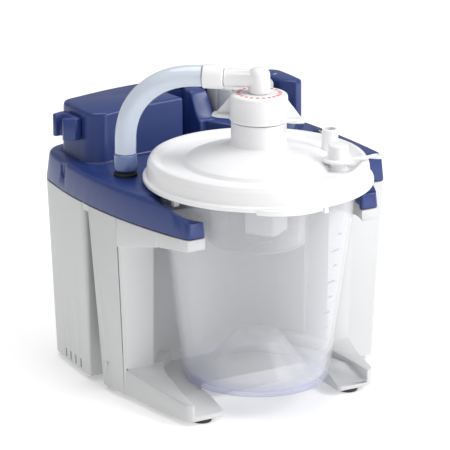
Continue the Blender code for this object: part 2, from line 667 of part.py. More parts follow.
def make_elbow():
    outward = (math.cos(NIPPLE_TURN), math.sin(NIPPLE_TURN), 0)
    start = (0, 0, BARREL_Z)
    elbow = along("elbow", [(3.5, -12), (3.5, -8.4), (6.4, -8.4), (6.4, 3.0), (5.2, 5.6), (2.5, 6.6)],
                  "lid_white", start, (0, 0, 1), steps=16, at=(0, 0, BARREL_Z))
    join(elbow, along("barrel", [(5.4, 0), (5.5, 20.8), (4.2, 20.8), (4.2, 32), (3.8, 33.4)],
                      "lid_white", start, outward, steps=16, guide=True))
    cut(elbow, along("elbow_bore", [(2.6, -20), (2.6, 1.5)], "lid_white", start, (0, 0, 1), guide=True,
                     steps=10))
    cut(elbow, along("barrel_bore", [(2.6, -1.5), (2.6, 40)], "lid_white", start, outward, guide=True,
                     steps=10))
    ring_along("elbow_cuff", [(4.6, 21.2), (7.3, 21.2), (7.3, 33.7), (4.6, 33.7)], "tube", start, outward)
    x, y = nipple_point(0)[:2]
    turned("deck_cuff", [(4.7, DECK_Z + 3.6), (7.5, DECK_Z + 3.6), (6.9, 148.3), (4.7, 148.3)], "tube",
           centre=(x, y), steps=24)


def hose(name, route, radius, colour, roundness):
    """A round hose with closed ends, swept along design points."""
    data = bpy.data.curves.new(name, "CURVE")
    data.dimensions = "3D"
    data.bevel_depth = radius * MM
    data.bevel_resolution = roundness
    data.use_fill_caps = True
    data.render_resolution_u = 0
    line = data.splines.new("POLY")
    line.points.add(len(route) - 1)
    for point, spot in zip(line.points, route):
        point.co = (*(Vector(spot) * MM), 1)
    obj = bpy.data.objects.new(name, data)
    obj.location = world((0, 0, 0))
    bpy.context.scene.collection.objects.link(obj)
    data.materials.append(material(colour))


def make_tube():
    """The suction tube: a fat soft hose that arches from the deck nipple to the elbow."""
    route = [(80.5, 148.7), (80.5, 153.5), (80.5, 158.5), (80.2, 163), (79.4, 167.6), (78.1, 172),
             (76.2, 176.4), (73.7, 180.6), (70.6, 184.5), (67, 187.9), (62.9, 191), (58.4, 193.6),
             (53.6, 195.6), (48.7, 197), (43.7, 197.8), (39.0, 198.2), (34.1, 198.3)]
    hose("suction_tube", [tube_point(away, z) for away, z in route], TUBE_R, "tube", 3)


def make_port_cap():
    x, y = PORT_CAPPED[:2]
    top = PORT_CAPPED[3] + GAP
    profile = [(9.2, top), (9.2, top + 1.6), (6.4, top + 2.2), (6.0, 161.5), (5.4, 162.3)]
    cap = capped("port_cap", profile, "lid_white", centre=(x, y), steps=28, at=(x, y, top))
    path = rounded([(x + 4, y - 2), (52, -41.5), (56, -45.6, 3), (61.5, -44.6, 3), (62.8, -40, 3),
                    (58, -37.2, 3), (52, -38.5), (x + 4, y + 2)], 3)
    join(cap, prism("strap", path, top + 0.2, top + 1.5, "lid_white", guide=True))
    hole = rounded([(53.5, -41), (57.5, -43, 1.2), (60.2, -41.6, 1.2), (57, -39.2, 1.2)], 3)
    cut(cap, prism("loop_hole", hole, 140, 170, "lid_white", guide=True))


# ------------------------------------------------------------------ inside the case

MOTOR_Y, MOTOR_Z = 104.0, 46.0
CRANK_X = -22.0
CRANK_THROW = 2.5
PISTON_R = 12.6


def make_motor():
    sideways = (1, 0, 0)
    axis = (0, MOTOR_Y, MOTOR_Z)
    ring_along("motor", [(2.4, -8), (18, -8), (21, -5), (21, 46), (18, 49), (2.4, 49)], "steel", axis,
               sideways, steps=28)
    along("motor_shaft", [(2.0, -18.5), (2.0, 68)], "steel", axis, sideways, steps=12, at=axis)
    fan = ring_along("cooling_fan", [(2.3, 56), (7, 56), (7, 64), (2.3, 64)], "black", axis, sideways,
                     steps=20, at=axis)
    for i in range(7):
        a = 2 * math.pi * i / 7
        blade = []
        for r in (6.4, 22.0):
            blade.append([(60 + 3.2 * s * w - 0.7 * w, MOTOR_Y + r * math.cos(a + s * 0.16),
                           MOTOR_Z + r * math.sin(a + s * 0.16)) for s, w in
                          ((-1, 1), (1, 1), (1.05, 0.72), (-0.95, 1.28))])
        join(fan, loft(f"blade_{i}", blade, "black", guide=True))
    crank = along("crank", [(9.0, -28), (9.0, -19), (5.0, -19), (5.0, -14)], "steel", axis, sideways,
                  steps=24, at=axis)
    cut(crank, along("crank_bore", [(2.3, -20), (2.3, -10)], "steel", axis, sideways, steps=12,
                     guide=True))
    pin = (0, MOTOR_Y, MOTOR_Z + CRANK_THROW)
    join(crank, along("crank_pin", [(4.0, -36), (4.0, -27)], "steel", pin, sideways, steps=16,
                      guide=True))
    rod = ring_along("piston_rod", [(4.3, -35), (8.0, -35), (8.0, -29), (4.3, -29)], "aluminium", pin,
                     sideways, steps=20, at=pin)
    join(rod, block("rod_bar", (-34.5, MOTOR_Y - 3, MOTOR_Z + 9), (-29.5, MOTOR_Y + 3, 82), "aluminium",
                    guide=True))
    join(rod, capped("piston", [(PISTON_R, 80), (PISTON_R, 86), (PISTON_R - 1, 87)], "aluminium",
                     centre=(-32, MOTOR_Y), steps=24, guide=True))


def make_pump():
    centre = (-32, MOTOR_Y)
    turned("pump_cylinder", [(16, 72), (19.5, 72), (19.5, 91.7), (16, 91.7)], "aluminium", centre=centre,
           steps=28)
    frame = block("pump_frame", (-56, 84, 5.8), (-50.5, 124, 71.7), "aluminium")
    join(frame, block("frame_shelf", (-51, 84, 68), (-11.5, 124, 71.7), "aluminium", guide=True))
    cut(frame, capped("shelf_bore", [(16, 60), (16, 80)], "aluminium", centre=centre, guide=True))
    join(frame, block("frame_end", (-15, 84, 5.8), (-10.5, 124, 71.7), "aluminium", guide=True))
    cut(frame, along("frame_eye", [(9.8, -30), (9.8, 0)], "aluminium", (0, MOTOR_Y, MOTOR_Z), (1, 0, 0),
                     guide=True))
    capped("valve_plate", [(20, 92), (20, 93.6)], "steel", centre=centre, steps=28)
    head = block("pump_head", (-52, 84, 93.9), (-12, 124, 108), "aluminium")
    cut(head, capped("head_chamber", [(12, 80), (12, 104)], "aluminium", centre=centre, steps=20,
                     guide=True))
    for side in (-1, 1):
        join(head, along(f"head_spigot_{side}", [(2.6, 18), (2.6, 30)], "aluminium",
                         (-32, MOTOR_Y, 101), (side, 0, 0), steps=12, guide=True))
    along("exhaust_muffler", [(9, 0), (10, 1), (10, 30), (9, 31)], "foam", (-1.7, MOTOR_Y, 101),
          (1, 0, 0), steps=20)
    block("battery_pack", (34, 76, 71), (86, 118, 108), "battery")
    block("battery_foam", (34, 76, 108.3), (86, 118, 110.3), "foam")
    board = block("circuit_board", (-63, 104, 126.5), (-9, 106, 162), "board")
    join(board, block("board_chip", (-50, 105.5, 138), (-36, 108.5, 150), "board", guide=True))
    turned("vacuum_regulator", [(1.0, 112), (9, 112), (9, 120), (4.6, 120), (4.6, 127.6), (1.0, 127.6)],
           "aluminium", centre=(KNOB_X, KNOB_Y), steps=20)
    make_hose()


def make_hose():
    """The inner hose from the pump head's inlet round to the deck nipple."""
    x, y = nipple_point(0)[:2]
    route = [(-62.6, MOTOR_Y, 101), (-65, MOTOR_Y, 101), (-68.8, MOTOR_Y - 2, 101),
             (-70.8, MOTOR_Y - 6, 101.5),
             (-71.5, MOTOR_Y - 12, 103), (-71.5, MOTOR_Y - 22, 106), (-70.5, MOTOR_Y - 32, 110),
             (-68.5, 71, 113.5), (x - 3.5, 62, 115), (x - 1, 56, 116), (x, y + 1.2, 118), (x, y, 120.5),
             (x, y, 123.6)]
    hose("vacuum_hose", route, 3.5, "black", 2)


def main():
    for obj in list(bpy.data.objects):
        bpy.data.objects.remove(obj)
    make_rear_case()
    make_cradle()
    make_cover()
    make_bottom_plate()
    make_small_case_parts()
    make_controls()
    make_canister_parts()
    make_filter()
    make_elbow()
    make_tube()
    make_port_cap()
    make_motor()
    make_pump()


main()
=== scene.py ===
"""Looks of the portable suction pump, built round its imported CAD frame.

Places are design millimetres: X right, Y back, Z up, measured from the canister's axis on the
ground, which is found from the frame. A mesh is put into metres and world coordinates when made.
"""

import json
import math

import bmesh
import bpy
from mathutils import Matrix, Vector

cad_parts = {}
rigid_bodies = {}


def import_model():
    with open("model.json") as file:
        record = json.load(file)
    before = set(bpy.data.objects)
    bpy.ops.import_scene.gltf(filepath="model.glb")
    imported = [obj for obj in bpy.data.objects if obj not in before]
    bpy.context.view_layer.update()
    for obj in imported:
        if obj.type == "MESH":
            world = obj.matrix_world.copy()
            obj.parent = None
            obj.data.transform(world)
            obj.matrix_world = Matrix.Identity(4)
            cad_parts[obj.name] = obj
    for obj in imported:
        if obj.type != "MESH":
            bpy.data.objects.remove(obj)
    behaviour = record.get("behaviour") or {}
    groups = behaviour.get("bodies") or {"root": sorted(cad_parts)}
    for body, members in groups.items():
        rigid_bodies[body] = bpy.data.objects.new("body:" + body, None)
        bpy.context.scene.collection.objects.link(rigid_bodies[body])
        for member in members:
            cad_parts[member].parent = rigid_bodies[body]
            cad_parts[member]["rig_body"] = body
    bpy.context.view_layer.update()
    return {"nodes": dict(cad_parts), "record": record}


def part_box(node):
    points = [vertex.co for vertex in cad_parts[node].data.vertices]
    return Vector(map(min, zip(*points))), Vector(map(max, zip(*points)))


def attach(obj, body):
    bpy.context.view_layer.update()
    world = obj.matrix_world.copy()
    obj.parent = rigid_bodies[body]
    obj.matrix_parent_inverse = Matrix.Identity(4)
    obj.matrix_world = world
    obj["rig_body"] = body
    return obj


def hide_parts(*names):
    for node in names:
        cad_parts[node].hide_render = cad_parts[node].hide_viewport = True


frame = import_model()
MM = 0.001


def middle_of(node):
    low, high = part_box(node)
    return (low + high) / 2


AXIS = Vector((middle_of("container").x, middle_of("container").y, 0.0))


def design(node, corner):
    """A corner (0 low, 1 high) of a CAD node's box in design millimetres."""
    return (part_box(node)[corner] - AXIS) / MM


GAP = 0.3
DECK_Z = design("front_cradle", 1).z + 18.15
COVER_LOW = design("top_cover", 0).z
ROOF_Z = design("top_cover", 1).z
FLOOR_Z = ROOF_Z - 17.0
CASE_TOP = design("rear_case", 1).z
PAD_H = design("rear_case", 0).z
BASE_Z = design("container", 0).z
CAN_TOP_Z = design("container", 1).z - 1.8
LEFT_X = design("top_cover", 0).x
RIGHT_X = design("top_cover", 1).x
BACK_Y = design("top_cover", 1).y
CAP_Z = design("filter_cap", 0).z - 0.4
CAP_TOP = design("filter_cap", 1).z
BARREL_Z = design("elbow_cuff", 1).z - 7.3
KNOB_X = (middle_of("regulator_knob").x - AXIS.x) / MM
KNOB_Y = (middle_of("regulator_knob").y - AXIS.y) / MM
NIPPLE_X = (middle_of("deck_cuff").x - AXIS.x) / MM
NIPPLE_Y = (middle_of("deck_cuff").y - AXIS.y) / MM
NIPPLE_TURN = math.radians(140)

MID_X = 9.6
SIDE_BOW = 0.00165
BACK_BOW = 0.0022
DRAFT = 5.5
WALL = 2.5
BAY_R = 62.4
CASE_FRONT = 67.0
LEFT_PANEL_Y = 29.0
RIGHT_PANEL_Y = 14.7
ARM_TIP_Y = -30.5
NICHE = (48.0, 97.2, 26.5)
PORT_CAPPED = (33.0, -36.0, 146.4, 151.6)
PORT_OPEN = (46.0, -7.0, 146.4, 163.0)
TUBE_R = 6.5
CAMERA_EYE = (-905.609, -1456.908, 650.990)
CAMERA_TURN, CAMERA_RISE, CAMERA_ROLL = (math.radians(a) for a in (-31.21, 17.583, 0.442))
CAMERA_LENS, CAMERA_SENSOR = 240, 36


# ------------------------------------------------------------------ materials

def shader_of(name):
    made = bpy.data.materials.new(name)
    made.use_nodes = True
    return made, made.node_tree.nodes, made.node_tree.links, made.node_tree.nodes["Principled BSDF"]


def mottled(name, colour, rough, spread=0.03, grain=900.0, depth=0.04, metal=0.0, coat=0.0):
    """A moulded or metal finish: slightly uneven colour and gloss, and a fine moulding grain."""
    made, nodes, links, shader = shader_of(name)
    place = nodes.new("ShaderNodeTexCoord")
    cloud = nodes.new("ShaderNodeTexNoise")
    cloud.inputs["Scale"].default_value = 22.0
    cloud.inputs["Detail"].default_value = 3.0
    links.new(place.outputs["Object"], cloud.inputs["Vector"])
    tone = nodes.new("ShaderNodeValToRGB")
    tone.color_ramp.elements[0].position = 0.3
    tone.color_ramp.elements[1].position = 0.7
    tone.color_ramp.elements[0].color = (*(c * (1 - spread) for c in colour), 1)
    tone.color_ramp.elements[1].color = (*(min(1.0, c * (1 + spread)) for c in colour), 1)
    links.new(cloud.outputs["Fac"], tone.inputs["Fac"])
    links.new(tone.outputs["Color"], shader.inputs["Base Color"])
    gloss = nodes.new("ShaderNodeMapRange")
    gloss.inputs["To Min"].default_value = rough * 0.88
    gloss.inputs["To Max"].default_value = rough * 1.12
    links.new(cloud.outputs["Fac"], gloss.inputs["Value"])
    links.new(gloss.outputs["Result"], shader.inputs["Roughness"])
    fine = nodes.new("ShaderNodeTexNoise")
    fine.inputs["Scale"].default_value = grain
    links.new(place.outputs["Object"], fine.inputs["Vector"])
    bump = nodes.new("ShaderNodeBump")
    bump.inputs["Strength"].default_value = depth
    bump.inputs["Distance"].default_value = 0.0004
    links.new(fine.outputs["Fac"], bump.inputs["Height"])
    links.new(bump.outputs["Normal"], shader.inputs["Normal"])
    shader.inputs["Metallic"].default_value = metal
    shader.inputs["Coat Weight"].default_value = coat
    shader.inputs["Coat Roughness"].default_value = 0.12
    return made


def clear(name, low_colour, high_colour, rough, low_z, high_z, face=0.10, edge=0.75):
    """A clear moulding: its tint changes with height, and it looks denser where it is seen edge-on."""
    made, nodes, links, shader = shader_of(name)
    place = nodes.new("ShaderNodeTexCoord")
    split = nodes.new("ShaderNodeSeparateXYZ")
    links.new(place.outputs["Object"], split.inputs["Vector"])
    height = nodes.new("ShaderNodeMapRange")
    height.inputs["From Min"].default_value = low_z * MM
    height.inputs["From Max"].default_value = high_z * MM
    links.new(split.outputs["Z"], height.inputs["Value"])
    tone = nodes.new("ShaderNodeValToRGB")
    tone.color_ramp.elements[0].color = (*low_colour, 1)
    tone.color_ramp.elements[1].color = (*high_colour, 1)
    links.new(height.outputs["Result"], tone.inputs["Fac"])
    links.new(tone.outputs["Color"], shader.inputs["Base Color"])
    gloss = nodes.new("ShaderNodeLayerWeight")
    gloss.inputs["Blend"].default_value = 0.35
    density = nodes.new("ShaderNodeMapRange")
    density.inputs["To Min"].default_value = face
    density.inputs["To Max"].default_value = edge
    links.new(gloss.outputs["Facing"], density.inputs["Value"])
    links.new(density.outputs["Result"], shader.inputs["Alpha"])
    wave = nodes.new("ShaderNodeTexNoise")
    wave.inputs["Scale"].default_value = 30.0
    links.new(place.outputs["Object"], wave.inputs["Vector"])
    bump = nodes.new("ShaderNodeBump")
    bump.inputs["Strength"].default_value = 0.05
    bump.inputs["Distance"].default_value = 0.001
    links.new(wave.outputs["Fac"], bump.inputs["Height"])
    links.new(bump.outputs["Normal"], shader.inputs["Normal"])
    shader.inputs["Roughness"].default_value = rough
    shader.inputs["Coat Weight"].default_value = 1.0
    shader.inputs["Coat Roughness"].default_value = 0.04
    return made


FINISH = {
    "navy_shell": mottled("navy_shell", (0.020, 0.044, 0.19), 0.34, coat=0.15),
    "white_shell": mottled("white_shell", (0.66, 0.665, 0.67), 0.42, spread=0.015),
    "lid_plastic": mottled("lid_plastic", (0.87, 0.87, 0.88), 0.38, spread=0.012),
    "clear_plastic": clear("clear_plastic", (0.34, 0.36, 0.82), (0.90, 0.91, 0.95), 0.08, BASE_Z, BASE_Z + 8,
                           0.13, 0.55),
    "tube_silicone": clear("tube_silicone", (0.70, 0.78, 0.92), (0.74, 0.81, 0.91), 0.30, 130, 200, 0.78, 1.0),
    "grey_plastic": mottled("grey_plastic", (0.60, 0.61, 0.63), 0.40),
    "black_plastic": mottled("black_plastic", (0.022, 0.022, 0.026), 0.42),
    "black_rubber": mottled("black_rubber", (0.035, 0.035, 0.036), 0.85, depth=0.12),
    "steel": mottled("steel", (0.58, 0.58, 0.59), 0.28, metal=1.0),
    "aluminium": mottled("aluminium", (0.68, 0.69, 0.70), 0.42, metal=1.0, depth=0.08),
    "circuit_green": mottled("circuit_green", (0.03, 0.20, 0.08), 0.45),
    "battery_wrap": mottled("battery_wrap", (0.05, 0.08, 0.12), 0.5),
    "dial_white": mottled("dial_white", (0.88, 0.88, 0.86), 0.5, spread=0.01),
    "red_plastic": mottled("red_plastic", (0.62, 0.035, 0.03), 0.35),
    "foam": mottled("foam", (0.76, 0.77, 0.79), 0.95, spread=0.06, depth=0.3, grain=400.0),
}
INK = mottled("print_ink", (0.035, 0.037, 0.045), 0.5)
RED_INK = mottled("red_ink", (0.72, 0.16, 0.15), 0.5)
PALE_MARK = mottled("pale_mark", (0.42, 0.43, 0.55), 0.35)


# ------------------------------------------------------------------ shape tools

def link(name, data):
    obj = bpy.data.objects.new(name, data)
    bpy.context.scene.collection.objects.link(obj)
    return obj


def solid(name, points, faces):
    """A closed mesh from design points."""
    mesh = bpy.data.meshes.new(name)
    mesh.from_pydata([tuple(p) for p in points], [], faces)
    grid = bmesh.new()
    grid.from_mesh(mesh)
    bmesh.ops.recalc_face_normals(grid, faces=grid.faces)
    if grid.calc_volume(signed=True) < 0:
        bmesh.ops.reverse_faces(grid, faces=grid.faces)
    grid.to_mesh(mesh)
    grid.free()
    mesh.transform(Matrix.Translation(AXIS) @ Matrix.Scale(MM, 4))
    return link(name, mesh)


def loft(name, rings, ring_shaped=False):
    """A body through rings of equally many points: capped, or closed back on its first ring."""
    count = len(rings[0])
    points = [p for ring in rings for p in ring]
    pairs = [(i, i + 1) for i in range(len(rings) - 1)]
    if ring_shaped:
        pairs.append((len(rings) - 1, 0))
    faces = []
    for low, high in pairs:
        for i in range(count):
            j = (i + 1) % count
            faces.append((low * count + i, low * count + j, high * count + j, high * count + i))
    if not ring_shaped:
        faces.append(tuple(range(count)))
        last = (len(rings) - 1) * count
        faces.append(tuple(range(last, last + count)))
    return solid(name, points, faces)


def level(loop, z):
    return [(x, y, z) for x, y in loop]


def prism(name, loop, low, high):
    return loft(name, [level(loop, low), level(loop, high)])


def block(name, low, high):
    (x0, y0, z0), (x1, y1, z1) = low, high
    return prism(name, [(x0, y0), (x1, y0), (x1, y1), (x0, y1)], z0, z1)


def arc(cx, cy, r, start, end, steps):
    angles = [math.radians(start + (end - start) * i / steps) for i in range(steps + 1)]
    return [(cx + r * math.cos(a), cy + r * math.sin(a)) for a in angles]


def spoke(angle):
    """The outward and the crosswise direction at an angle in radians."""
    return Vector((math.cos(angle), math.sin(angle))), Vector((-math.sin(angle), math.cos(angle)))


def circle(cx, cy, r, steps=96):
    return arc(cx, cy, r, 0, 360, steps)[:-1]


def spread_out(start, end, count):
    return [start + (end - start) * i / (count - 1) for i in range(count)]


def rounded(corners, steps=5, closed=True):
    """A polygon from (x, y) points and (x, y, radius) corners that are rounded by an arc."""
    loop = []
    for i, corner in enumerate(corners):
        here = Vector(corner[:2])
        end = not closed and i in (0, len(corners) - 1)
        if len(corner) == 2 or end:
            loop.append(tuple(here))
            continue
        back = (Vector(corners[i - 1][:2]) - here).normalized()
        on = (Vector(corners[(i + 1) % len(corners)][:2]) - here).normalized()
        half = back.angle(on) / 2
        reach = corner[2] / math.tan(half)
        middle = here + (back + on).normalized() * (corner[2] / math.sin(half))
        first = here + back * reach - middle
        turn = first.angle_signed(here + on * reach - middle)
        for k in range(steps + 1):
            a = -turn * k / steps
            loop.append((middle.x + first.x * math.cos(a) - first.y * math.sin(a),
                         middle.y + first.x * math.sin(a) + first.y * math.cos(a)))
    return loop


def inset(corners, by):
    """Counter-clockwise corners moved inwards, as many as before, with radii shrunk to suit."""
    moved = []
    for i, corner in enumerate(corners):
        here = Vector(corner[:2])
        a = (here - Vector(corners[i - 1][:2])).normalized()
        b = (Vector(corners[(i + 1) % len(corners)][:2]) - here).normalized()
        normal = Vector((-a.y - b.y, a.x + b.x)).normalized()
        stretch = max(0.5, normal.dot(Vector((-a.y, a.x))))
        spot = here + normal * (by / stretch)
        radius = [max(0.4, corner[2] - by)] if len(corner) == 3 else []
        moved.append((*spot, *radius))
    return moved


def turned(name, outline, centre=(0, 0), steps=96, ring_shaped=True):
    """A body turned about a vertical line from (radius, z) points and (radius, z, rounding) corners."""
    profile = rounded(outline, 4, closed=ring_shaped)
    return loft(name, [level(circle(*centre, r, steps), z) for r, z in profile], ring_shaped)


def along(name, outline, start, direction, steps=64, ring_shaped=False):
    """A body turned about any line: the outline holds (radius, distance, rounding)."""
    spin = Vector(direction).normalized().to_track_quat("Z", "Y").to_matrix()
    rings = []
    for r, s in rounded(outline, 4, closed=ring_shaped):
        rings.append([spin @ Vector((x, y, s)) + Vector(start) for x, y in circle(0, 0, r, steps)])
    return loft(name, rings, ring_shaped)


def combine(obj, other, how):
    step = obj.modifiers.new(other.name, "BOOLEAN")
    step.operation = how
    step.object = other
    step.solver = "EXACT"


def settle(obj):
    """Makes what the modifiers show into the object's own mesh, and removes the tools they used."""
    tools = [m.object for m in obj.modifiers if m.type == "BOOLEAN"]
    bpy.context.view_layer.update()
    shown = obj.evaluated_get(bpy.context.evaluated_depsgraph_get())
    mesh = bpy.data.meshes.new_from_object(shown)
    obj.modifiers.clear()
    obj.data = mesh
    for tool in tools:
        bpy.data.objects.remove(tool)
    return obj


def cut(obj, *tools):
    for tool in tools:
        combine(obj, tool, "DIFFERENCE")
    return settle(obj)


def join(obj, *others):
    for other in others:
        combine(obj, other, "UNION")
    return settle(obj)


def soften(obj, width, angle=32, segments=3):
    """Rounds every edge that is sharper than the angle."""
    step = obj.modifiers.new("soft_edges", "BEVEL")
    step.width = width * MM
    step.segments = segments
    step.limit_method = "ANGLE"
    step.angle_limit = math.radians(angle)
    step.use_clamp_overlap = False
    step.harden_normals = True
    step.miter_outer = "MITER_ARC"
    return settle(obj)


def piece(obj, node, slot=None, replaces=True, finish=None, smooth=35):
    """Shows obj in place of a CAD node, or beside it, with the finish of a material slot."""
    for polygon in obj.data.polygons:
        polygon.use_smooth = True
    if smooth:
        obj.data.set_sharp_from_angle(angle=math.radians(smooth))
    obj.data.materials.clear()
    obj.data.materials.append(finish or FINISH[slot])
    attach(obj, frame["nodes"][node]["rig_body"])
    if replaces:
        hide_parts(node)
    return obj


# ------------------------------------------------------------------ camera, floor and light

def make_camera():
    """A long lens, slightly above the canister's lid and from its front left."""
    turn, rise, roll = CAMERA_TURN, CAMERA_RISE, CAMERA_ROLL
    back = Vector((math.sin(turn) * math.cos(rise), -math.cos(turn) * math.cos(rise), math.sin(rise)))
    right = Vector((math.cos(turn), math.sin(turn), 0))
    up = back.cross(right)
    side = right * math.cos(roll) + up * math.sin(roll)
    top = up * math.cos(roll) - right * math.sin(roll)
    data = bpy.data.cameras.new("photo_camera")
    data.lens = CAMERA_LENS
    data.sensor_width = CAMERA_SENSOR
    data.clip_end = 20
    camera = link("photo_camera", data)
    turned_to = Matrix((side, top, back)).transposed().to_4x4()
    eye = AXIS + Vector(CAMERA_EYE) * MM
    camera.matrix_world = Matrix.Translation(eye) @ turned_to
    bpy.context.scene.camera = camera


def area_light(name, place, size, power, colour=(1, 1, 1)):
    data = bpy.data.lights.new(name, "AREA")
    data.shape = "DISK"
    data.size = size
    data.energy = power
    data.color = colour
    lamp = link(name, data)
    lamp.location = place
    lamp.rotation_euler = (Vector((0, 0, 0.09)) - Vector(place)).to_track_quat("-Z", "Y").to_euler()


def make_room():
    made, _, _, shader = shader_of("floor_white")
    shader.inputs["Base Color"].default_value = (0.93, 0.93, 0.93, 1)
    shader.inputs["Roughness"].default_value = 0.9
    shader.inputs["Emission Color"].default_value = (1, 1, 1, 1)
    shader.inputs["Emission Strength"].default_value = 0.28
    mesh = bpy.data.meshes.new("floor")
    grid = bmesh.new()
    bmesh.ops.create_grid(grid, x_segments=1, y_segments=1, size=6)
    grid.to_mesh(mesh)
    grid.free()
    mesh.materials.append(made)
    link("floor", mesh)
    world = bpy.data.worlds.new("studio")
    world.use_nodes = True
    sky = world.node_tree.nodes["Background"]
    sky.inputs["Color"].default_value = (1.0, 1.0, 1.0, 1)
    sky.inputs["Strength"].default_value = 0.36
    bpy.context.scene.world = world
    area_light("key", (1.0, -0.9, 1.15), 0.9, 13)
    area_light("overhead", (-0.1, 0.2, 1.8), 1.5, 15)
    area_light("front", (0.4, -1.6, 0.6), 1.2, 9)
    area_light("fill", (-1.3, -0.9, 0.7), 1.2, 0.3)
    bpy.context.scene.view_settings.view_transform = "Standard"


make_camera()


# ------------------------------------------------------------------ the tube

def nipple_at(away, z):
    """A point in the upright plane that holds the canister's axis and the deck nipple."""
    return Vector((away * math.cos(NIPPLE_TURN), away * math.sin(NIPPLE_TURN), z))


def make_tube():
    route = [(80.5, 148.7), (80.5, 153.5), (80.5, 158.5), (80.2, 163), (79.4, 167.6), (78.1, 172),
             (76.2, 176.4), (73.7, 180.6), (70.6, 184.5), (67, 187.9), (62.9, 191), (58.4, 193.6),
             (53.6, 195.6), (48.7, 197), (43.7, 197.8), (39.0, 198.2), (34.1, 198.3)]
    points = [AXIS + nipple_at(away, z) * MM for away, z in route]
    data = bpy.data.curves.new("suction_tube", "CURVE")
    data.dimensions = "3D"
    data.bevel_depth = TUBE_R * MM
    data.bevel_resolution = 10
    data.use_fill_caps = True
    data.resolution_u = 10
    line = data.splines.new("NURBS")
    line.points.add(len(points) - 1)
    for point, spot in zip(line.points, points):
        point.co = (*spot, 1)
    line.order_u = 3
    line.use_endpoint_u = True
    data.materials.append(FINISH["tube_silicone"])
    tube = link("suction_tube_look", data)
    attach(tube, frame["nodes"]["suction_tube"]["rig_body"])
    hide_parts("suction_tube")


make_tube()


# ------------------------------------------------------------------ plan curves of the case

def left_side(y):
    return LEFT_X + SIDE_BOW * (y - 70) ** 2


def right_side(y):
    return RIGHT_X - 0.001 * (y - 45) ** 2


def back_edge(x, back=BACK_Y):
    return back - BACK_BOW * (x - MID_X) ** 2


def rear_run():
    run = [(right_side(y), y) for y in spread_out(75, 112, 8)]
    run.append((right_side(128), back_edge(right_side(128)) + 1, 20))
    run += [(x, back_edge(x)) for x in spread_out(72, -52, 22)]
    run.append((left_side(128), back_edge(left_side(128)) + 1, 20))
    run += [(left_side(y), y) for y in spread_out(112, 75, 8)]
    return run


def case_corners(front=CASE_FRONT):
    return [(left_side(front), front, 4), (right_side(front), front, 4)] + rear_run()


def cover_corners():
    tip = math.degrees(math.asin(-ARM_TIP_Y / BAY_R))
    near = BAY_R * math.cos(math.radians(tip)) - 1.8
    loop = [(near, ARM_TIP_Y, 2), (66.3, ARM_TIP_Y, 3.5)]
    loop += [(-left_side(y), y) for y in spread_out(-20, 8, 6)]
    loop += [(-left_side(RIGHT_PANEL_Y), RIGHT_PANEL_Y), (right_side(RIGHT_PANEL_Y), RIGHT_PANEL_Y, 2)]
    loop += [(right_side(y), y) for y in spread_out(28, 66, 7)]
    loop += rear_run()
    loop += [(left_side(y), y) for y in spread_out(66, -20, 20)]
    loop += [(-66.3, ARM_TIP_Y, 3.5), (-near, ARM_TIP_Y, 2)]
    loop += arc(0, 0, BAY_R, 180 + tip - 9, -tip + 9, 72)
    return loop


# ------------------------------------------------------------------ cover

def arm_carve(side):
    """What is cut off an arm's top: it falls towards the tip, and towards the canister."""
    rings = []
    for y in spread_out(14, ARM_TIP_Y - 8, 24):
        outer = DECK_Z - 9.0 * (max(0.0, 2 - y) / 33) ** 1.6
        ease = min(1.0, max(0.0, (12 - y) / 16))
        inner = min(outer, DECK_Z - 8.5 * ease * ease * (3 - 2 * ease))
        far, near = -left_side(max(y, -25)) - 3, math.sqrt(max(48.0 ** 2, BAY_R ** 2 - y * y)) + 1.5
        line = [(far + 14, outer - 0.4), (far + 2, outer), (far, outer), (near, inner), (near - 16, inner)]
        rings.append([(side * x, y, z + 0.02) for x, z in line]
                     + [(side * (near - 16), y, 170), (side * (far + 14), y, 170)])
    return loft(f"arm_carve_{side}", rings)


def raised_corners():
    x, y, r = NICHE
    loop = [(-69.5, 75.5, 11), (-35, 86), (0.5, 88.6, 1.5), (-2, 108, 4), (3, 116.5, 3), (11.3, 107.5),
            (19.9, 106.9)]
    loop += arc(x, y, r, 159, -4, 32)
    loop += [(81.5, 86.5, 1.5), (88.6, 90, 4), (89.2, 105)]
    loop += [(88.8, back_edge(88.8, 134) + 1, 9)]
    loop += [(x, back_edge(x, 134)) for x in spread_out(72, -54, 20)]
    loop += [(-69.5, back_edge(-69.5, 134) + 1, 9)]
    return loop


def floor_corners():
    x, y, r = NICHE
    front = math.degrees(math.atan2(71, 24.0))
    loop = [(12.0, 97.5)] + arc(0, 0, 76.0, front, 50, 12)
    loop += [(77, 80, 8), (84, 92), (80, 100)]
    loop += arc(x, y, r + 1, 6, 160, 24)
    return loop


def make_slide():
    """The S-shaped ramp that comes down from the roof to the knob's platform."""
    rings = []
    for i in range(17):
        t = i / 16
        y = 108.5 - 20.5 * t
        fall = min(1.0, max(0.0, (99.5 - y) / 10.5))
        z = ROOF_Z - (ROOF_Z - FLOOR_Z) * fall * fall * (3 - 2 * fall) + 0.03
        left = 11.0 - 1.2 * math.sin(math.pi * t) + 1.2 * t
        right = 20.0 + 4.0 * t
        rings.append([(left, y, DECK_Z - 3), (right, y, DECK_Z - 3), (right, y, z - 0.5), (right - 0.5, y, z),
                      (left + 1.4, y, z), (left + 0.5, y, z - 0.4), (left, y, z - 1.3)])
    return loft("slide", rings)


def rim_rings(corners, steps):
    return [level(rounded(inset(corners, by)), z) for by, z in steps]


